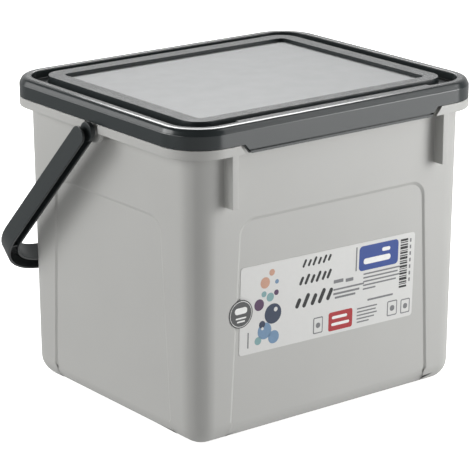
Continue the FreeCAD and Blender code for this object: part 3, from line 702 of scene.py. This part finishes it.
class CONTAINER_OT_stickers(bpy.types.Operator):
    """Give the label and the badge their film and print plain fields, bars and bubbles on them"""

    bl_idname = "container.stickers"
    bl_label = "Stickers"

    def execute(self, context):
        sizes = context.scene.container_stickers
        inks = {
            "film": printed_film("polypropylene_film_silver", sizes.film,
                                 roughness=0.3, mottle=0.008),
            "badge": printed_film("polypropylene_film_charcoal", sizes.badge,
                                  roughness=0.3, mottle=0.02),
        }
        for name in ("white", "blue", "red", "dark", "grey", "navy", "steel", "teal", "plum",
                     "peach"):
            inks[name] = printed_film("ink_" + name, getattr(sizes, name),
                                      roughness=0.35, mottle=0.03)
        wear(frame["nodes"]["label"], inks["film"])
        wear(frame["nodes"]["badge"], inks["badge"])
        for node, rows, turn in (("label", self.label_rows(), sizes.turn),
                                 ("badge", self.badge_rows(), 0)):
            plates = [self.plate(sizes, inks, *row) for row in rows]
            self.place(sizes, node, node + "_print", plates, turn)
        return {"FINISHED"}

    def label_rows(self):
        """The label's print: ink, layer, u, v, width, height, corner and turn in mm and degrees.
        u runs right and v up from the label's middle."""
        rows = [
            ("blue", 1, 35.7, 15.6, 29, 14.5, 2.4, 0),
            ("white", 2, 34.5, 13.6, 20, 3.4, 1.6, 0),
            ("white", 2, 41.0, 18.6, 6, 2.2, 1.04, 0),
            ("red", 1, 8.94, -17.6, 17.4, 11, 1.3, 0),
            ("white", 2, 8.2, -15.4, 11, 1.7, 0.8, 0),
            ("white", 2, 8.9, -19.4, 13, 1.7, 0.8, 0),
        ]
        # brush strokes in three rows, all leaning one way
        for u, v, long, thick in (
                (-18.2, 20.2, 5.0, 1.5), (-14.6, 20.0, 4.2, 1.5), (-11.0, 20.4, 5.4, 1.5),
                (-7.4, 20.0, 4.4, 1.5), (-3.8, 20.4, 5.0, 1.5), (-0.4, 20.6, 4.0, 1.5),
                (-20.0, 10.4, 5.2, 1.8), (-16.0, 10.8, 6.4, 1.8), (-12.0, 10.4, 5.2, 1.8),
                (-8.0, 11.0, 6.6, 1.8), (-4.0, 10.8, 5.4, 1.8), (-0.4, 11.2, 5.8, 1.8),
                (-22.0, -2.2, 6.0, 2.5), (-16.4, -1.4, 8.6, 2.5), (-10.8, -1.8, 7.0, 2.5),
                (-5.2, -0.8, 9.0, 2.5), (0.4, -0.8, 7.4, 2.5)):
            rows.append(("dark", 1, u, v, long, thick, thick * 0.48, -64))
        # rising bubbles
        for tone, layer, u, v, across in (
                ("navy", 1, -39.6, -4.6, 11.5), ("steel", 1, -45.2, -13.6, 9.5),
                ("steel", 1, -38.8, -18.2, 7.5), ("navy", 2, -47.0, -9.6, 4.2),
                ("teal", 1, -49.6, -18.6, 4.6), ("plum", 1, -49.4, 2.0, 6.6),
                ("teal", 1, -41.8, 5.2, 5.0), ("teal", 2, -46.2, 7.6, 3.4),
                ("plum", 1, -37.6, 7.2, 3.2), ("peach", 1, -45.6, 14.0, 6.4),
                ("peach", 1, -41.0, 19.2, 3.8), ("steel", 1, -37.4, 13.4, 2.6),
                ("film", 2, -37.8, -2.4, 2.6), ("film", 3, -46.8, -12.0, 1.8)):
            rows.append((tone, layer, u, v, across, across, across * 0.49, 0))
        # small grey lines that stand for text
        for u, v, long, thick in (
                (6.6, 5.6, 7, 2.0), (14.6, 5.0, 5.6, 2.0), (14.2, 0.9, 22.4, 1.0),
                (12.6, -1.6, 19, 1.2), (11.8, -3.9, 15, 1.2), (-56.5, -17, 0.8, 9),
                (38.3, 6.2, 27, 0.9), (37.6, 4.0, 25.6, 0.9), (38.5, 1.8, 27.4, 0.9),
                (37.0, -0.4, 24.6, 0.9), (29.4, -2.6, 9.4, 0.9), (38.0, -9.6, 19, 1.1),
                (28.4, -13.6, 15, 0.8), (28.0, -15.6, 14, 0.8), (28.4, -17.6, 15, 0.8),
                (27.4, -19.6, 13, 0.8), (25.6, -21.6, 9, 0.8), (19.2, 16, 0.9, 14)):
            rows.append(("grey", 1, u, v, long, thick, 0.3, 0))
        # the column of stripes, thick and thin in turn
        level, gaps = 22.0, (0.45, 0.7)
        for count, thick in enumerate((1.3, 0.6, 0.9, 1.6, 0.5, 1.1, 0.7, 1.5, 0.6, 1.0, 1.4, 0.5,
                                       0.8, 1.2, 0.6, 1.6, 0.9, 0.5, 1.2)):
            level -= thick / 2
            rows.append(("dark", 1, 54.6, level, 5.6, thick, 0, 0))
            level -= thick / 2 + gaps[count % 2]
        # a broken line beside the stripes
        for count in range(7):
            rows.append(("grey", 1, 59.4, 20.5 - count * 3.9, 1.1, 2.2, 0.3, 0))
        # small frames with a plain mark in each
        for u, v, wide, high in ((-7.3, -17.7, 6.9, 9.5), (47.3, -17.9, 7.5, 9.0),
                                 (57.2, -18.4, 7.0, 8.6)):
            rows.append(("grey", 1, u, v, wide, high, 0.9, 0))
            rows.append(("film", 2, u, v, wide - 1.3, high - 1.3, 0.5, 0))
            rows.append(("grey", 3, u, v, wide * 0.45, wide * 0.45, wide * 0.2, 0))
        return rows

    def badge_rows(self):
        """The badge's print: a thin ring and three plain bars, drawn like the label's rows."""
        return [
            ("white", 1, 0, 0, 14.6, 14.6, 7.15, 0),
            ("badge", 2, 0, 0, 14.0, 14.0, 6.86, 0),
            ("white", 3, 0, 1.9, 8.4, 3.6, 1.6, 0),
            ("white", 3, 0, -2.3, 7.2, 0.9, 0.4, 0),
            ("white", 3, 0, -4.2, 5.4, 0.9, 0.4, 0),
        ]

    def plate(self, sizes, inks, tone, layer, u, v, width, height, corner, turn):
        """One closed plate of ink, drawn upright and facing the front."""
        bpy.ops.mesh.primitive_plane_add(size=1, location=(u * MM, 0, v * MM),
                                         rotation=(math.pi / 2, math.radians(turn), 0))
        plate = bpy.context.active_object
        plate.scale = (width * MM, height * MM, 1)
        settle(plate)
        pick_all(plate)
        if corner:
            round_off(corner * MM, 8 if corner > 2 else 4, "VERTICES")
        draw_out(0, -layer * sizes.ink, 0)
        leave()
        wear(plate, inks[tone])
        return plate

    def place(self, sizes, node, name, plates, turn):
        """Join the plates and lay them on the outer face of the film."""
        only(*plates)
        bpy.ops.object.join()
        piece = bpy.context.active_object
        piece.name = name
        face_outwards(piece)
        low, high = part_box(node)
        middle = (low + high) / 2
        middle.y = low.y + math.tan(sizes.lean) * (high.z - low.z) / 2
        piece.matrix_world = (Matrix.Translation(middle) @ Matrix.Rotation(sizes.lean, 4, "X")
                              @ Matrix.Rotation(turn, 4, "Y"))
        settle(piece)
        mount(piece, "container", node + "_film")


# ---------------------------------------------------------------- the studio

# places and widths are in metres
FLOOR_WIDTH = 24
FLOOR_GLOW = 0.85  # the floor is a table lit from below
REAR = (0.61, 0.785, 0.1)  # the way to the bright wall behind the container
REAR_LIGHT = (0.02, 0.65)
TABLE_FRONT = (0.6, -0.8, 0.0)  # the way to the brightest side of the table
TABLE_LIGHT = (0.3, 0.66)
HORIZON = 0.03  # the light changes from table to room within this height of the horizon
# name, place, width and watts
SOFTBOXES = (
    ("softbox_front_right", (1.1, -1.4, 0.15), 1.2, 11.5),
    ("softbox_high_right", (1.05, -0.8, 1.2), 1.0, 6),
    ("softbox_right", (0.5, -0.5, 0.25), 0.3, 1.9),
    ("softbox_left", (-1.5, 0.9, 0.7), 0.9, 15),
    ("softbox_side", (-1.6, 0.1, 0.4), 1.0, 6),
    ("softbox_back_left", (-1.15, 1.4, 0.5), 0.9, 6),
    ("softbox_back", (0.85, 1.13, 1.2), 0.8, 21),
)
LAMP_AIM = (0, 0, 0.09)
CAMERA_PLACE = (-0.78240, -1.00810, 0.47850)
CAMERA_AIM = (-0.00373, 0.00287, 0.08531)
CAMERA_SHIFT = (-0.00106, 0.00106)


def look_at(thing, place):
    """Turn a lamp or a camera towards a place."""
    aim = Vector(place) - thing.location
    thing.rotation_euler = aim.to_track_quat("-Z", "Y").to_euler()


class CONTAINER_OT_studio(bpy.types.Operator):
    """Lay the pale floor, set the soft lights and place the camera"""

    bl_idname = "container.studio"
    bl_label = "Studio"

    def execute(self, context):
        sizes = context.scene.container_studio
        self.lay_floor(context, sizes)
        self.light_world(context)
        for name, place, width, power in SOFTBOXES:
            bpy.ops.object.light_add(type="AREA", location=place)
            lamp = context.active_object
            lamp.name = name
            lamp.data.size = width
            lamp.data.energy = power * sizes.light
            look_at(lamp, LAMP_AIM)
        bpy.ops.object.camera_add(location=CAMERA_PLACE)
        camera = context.active_object
        camera.name = "studio_camera"
        camera.data.lens = sizes.lens
        camera.data.sensor_width = 36
        camera.data.clip_start = 0.05
        camera.data.shift_x, camera.data.shift_y = CAMERA_SHIFT
        look_at(camera, CAMERA_AIM)
        context.scene.camera = camera
        context.scene.view_settings.view_transform = "Standard"
        return {"FINISHED"}

    def lay_floor(self, context, sizes):
        """A pale table that glows a little. It lights nothing itself, because the world's lower
        half stands for the light that it throws back."""
        bpy.ops.mesh.primitive_plane_add(size=FLOOR_WIDTH, location=(0, 0, 0))
        floor = context.active_object
        floor.name = "studio_floor"
        material = bpy.data.materials.new("painted_floor_white")
        tree = new_tree(material)
        paint = add_node(tree, "ShaderNodeBsdfPrincipled",
                         {"Base Color": opaque(sizes.floor), "Roughness": 0.8,
                          "Emission Color": opaque(sizes.floor),
                          "Emission Strength": FLOOR_GLOW})
        add_node(tree, "ShaderNodeOutputMaterial", {"Surface": paint.outputs["BSDF"]})
        wear(floor, material)
        floor.visible_diffuse = False
        floor.visible_glossy = False
        floor.visible_shadow = False

    def light_world(self, context):
        """Light from all round: bright behind the container, dim in front, and from the table."""
        world = bpy.data.worlds.new("studio_white")
        context.scene.world = world
        tree = new_tree(world)
        way = add_node(tree, "ShaderNodeTexCoord")
        height = add_node(tree, "ShaderNodeSeparateXYZ", {"Vector": way.outputs["Generated"]})
        # bright behind the container and dim on the side it is seen from
        rear = add_node(tree, "ShaderNodeVectorMath", {0: way.outputs["Generated"], 1: REAR},
                        operation="DOT_PRODUCT")
        wash = add_node(tree, "ShaderNodeMapRange",
                        {"Value": rear.outputs["Value"], "From Min": 0.3, "From Max": 1.0,
                         "To Min": REAR_LIGHT[0], "To Max": REAR_LIGHT[1]},
                        interpolation_type="SMOOTHSTEP")
        above = add_node(tree, "ShaderNodeMapRange",
                         {"Value": height.outputs["Z"], "From Min": -HORIZON,
                          "From Max": HORIZON, "To Min": 0.0, "To Max": 1.0})
        # below the horizon, the light that the pale table throws back up
        front = add_node(tree, "ShaderNodeVectorMath",
                         {0: way.outputs["Generated"], 1: TABLE_FRONT}, operation="DOT_PRODUCT")
        pool = add_node(tree, "ShaderNodeMapRange",
                        {"Value": front.outputs["Value"], "From Min": -1.0, "From Max": 1.0,
                         "To Min": TABLE_LIGHT[0], "To Max": TABLE_LIGHT[1]})
        table = add_node(tree, "ShaderNodeMapRange",
                         {"Value": height.outputs["Z"], "From Min": -HORIZON,
                          "From Max": HORIZON, "To Min": pool.outputs["Result"], "To Max": 0.0})
        both = add_node(tree, "ShaderNodeMath",
                        {0: wash.outputs["Result"], 1: above.outputs["Result"],
                         2: table.outputs["Result"]}, operation="MULTIPLY_ADD")
        sky = add_node(tree, "ShaderNodeBackground",
                       {"Color": (1, 1, 1, 1), "Strength": both.outputs["Value"]})
        add_node(tree, "ShaderNodeOutputWorld", {"Surface": sky.outputs["Background"]})


# ---------------------------------------------------------------- the add-on


class CONTAINER_PT_panel(bpy.types.Panel):
    """Lists the pieces and their settings in the sidebar"""

    bl_idname = "CONTAINER_PT_panel"
    bl_label = "Powder storage container"
    bl_space_type = "VIEW_3D"
    bl_region_type = "UI"
    bl_category = "Container"

    def draw(self, context):
        for operator, group in STEPS:
            box = self.layout.box()
            box.operator(operator.bl_idname)
            settings = getattr(context.scene, group)
            for name in type(settings).__annotations__:
                box.prop(settings, name)


GROUPS = {
    "container_body": ContainerSettings,
    "container_lid": LidSettings,
    "container_bail": BailSettings,
    "container_stickers": StickerSettings,
    "container_studio": StudioSettings,
}
STEPS = (
    (CONTAINER_OT_body, "container_body"),
    (CONTAINER_OT_lid, "container_lid"),
    (CONTAINER_OT_bail, "container_bail"),
    (CONTAINER_OT_stickers, "container_stickers"),
    (CONTAINER_OT_studio, "container_studio"),
)


def register():
    """Register the settings, the operators and the panel."""
    for name, group in GROUPS.items():
        bpy.utils.register_class(group)
        setattr(bpy.types.Scene, name, PointerProperty(type=group))
    for operator, group in STEPS:
        bpy.utils.register_class(operator)
    bpy.utils.register_class(CONTAINER_PT_panel)


def unregister():
    """Take them all away again."""
    bpy.utils.unregister_class(CONTAINER_PT_panel)
    for operator, group in reversed(STEPS):
        bpy.utils.unregister_class(operator)
    for name, group in GROUPS.items():
        delattr(bpy.types.Scene, name)
        bpy.utils.unregister_class(group)


def main():
    """Build every piece in order."""
    register()
    bpy.ops.container.body()
    bpy.ops.container.lid()
    bpy.ops.container.bail()
    bpy.ops.container.stickers()
    bpy.ops.container.studio()


if __name__ == "__main__":
    main()
